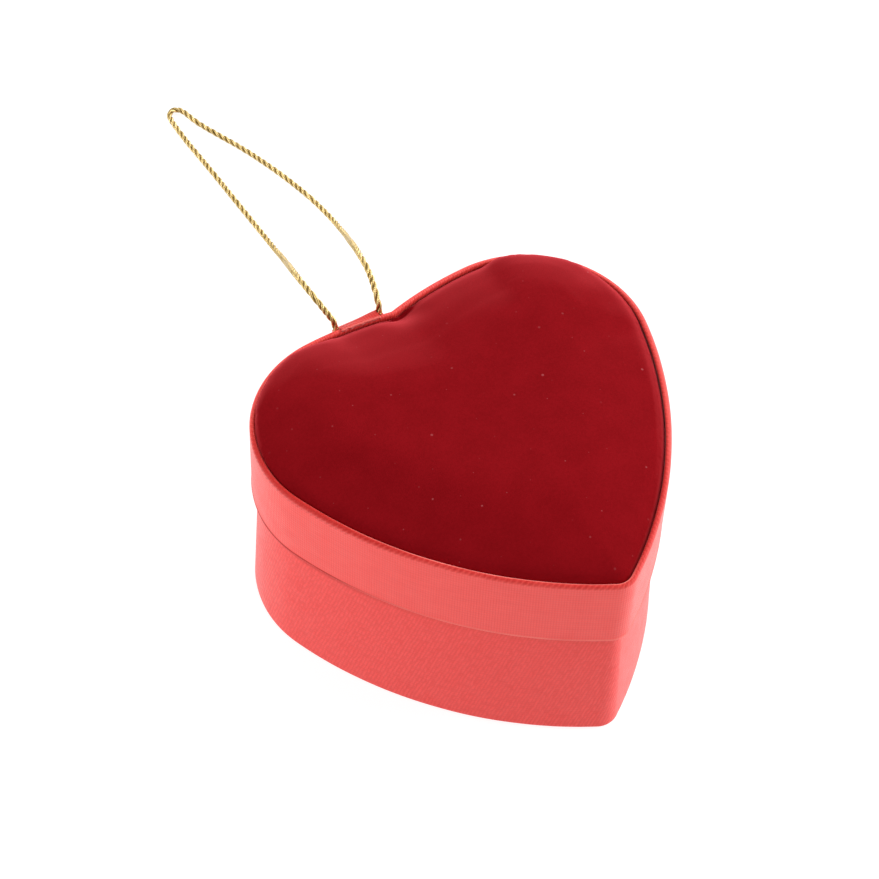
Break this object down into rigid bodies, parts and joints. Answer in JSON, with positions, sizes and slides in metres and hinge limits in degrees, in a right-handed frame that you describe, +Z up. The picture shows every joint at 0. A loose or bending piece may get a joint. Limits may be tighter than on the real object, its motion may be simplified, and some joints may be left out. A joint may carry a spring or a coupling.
{
  "type": "heart-shaped gift box",
  "caption": "Heart-shaped card gift box with a lift-off lid, a padded velvet top set in a ribbon-covered rim, a ribbon-covered base and a gold cord loop to hang it by.",
  "frame": {"origin": "on the table under the middle of the box, the middle of its width and of its length from the heart's point to the back of the ribbon end", "axes": "+Z up, +X across the heart, -Y towards the heart's point, so the notch and the cord loop are on the +Y side"},
  "size_m": [0.065, 0.1484, 0.0411],
  "materials": {
    "card": "matte",
    "red_paper": "matte",
    "base_ribbon": "satin",
    "lid_ribbon": "satin",
    "wadding": "matte",
    "velvet": "matte",
    "gold_cord": "satin"
  },
  "bodies": {
    "base": {"base_bottom_paper": "red_paper", "base_floor": "card", "base_wall": "card", "base_ribbon": "base_ribbon", "base_lining_wall": "red_paper", "base_lining_floor": "red_paper"},
    "lid": {"lid_rim": "card", "lid_ribbon": "lid_ribbon", "lid_panel": "card", "lid_lining": "red_paper", "pad_board": "card", "pad_wadding": "wadding", "velvet_cover": "velvet", "ribbon_tab": "lid_ribbon", "cord_tails": "gold_cord"},
    "loop": {"hanging_loop": "gold_cord"}
  },
  "joints": [
    {"name": "lid_lift", "type": "slide", "parent": "base", "child": "lid", "axis": [0, 0, 1], "range_m": [0, 0.05]},
    {"name": "loop_swing", "type": "hinge", "parent": "lid", "child": "loop", "pos_m": [-0.0053, 0.03036, 0.0376], "axis": [0.991, -0.1338, 0], "range_deg": [0, 110]}
  ]
}
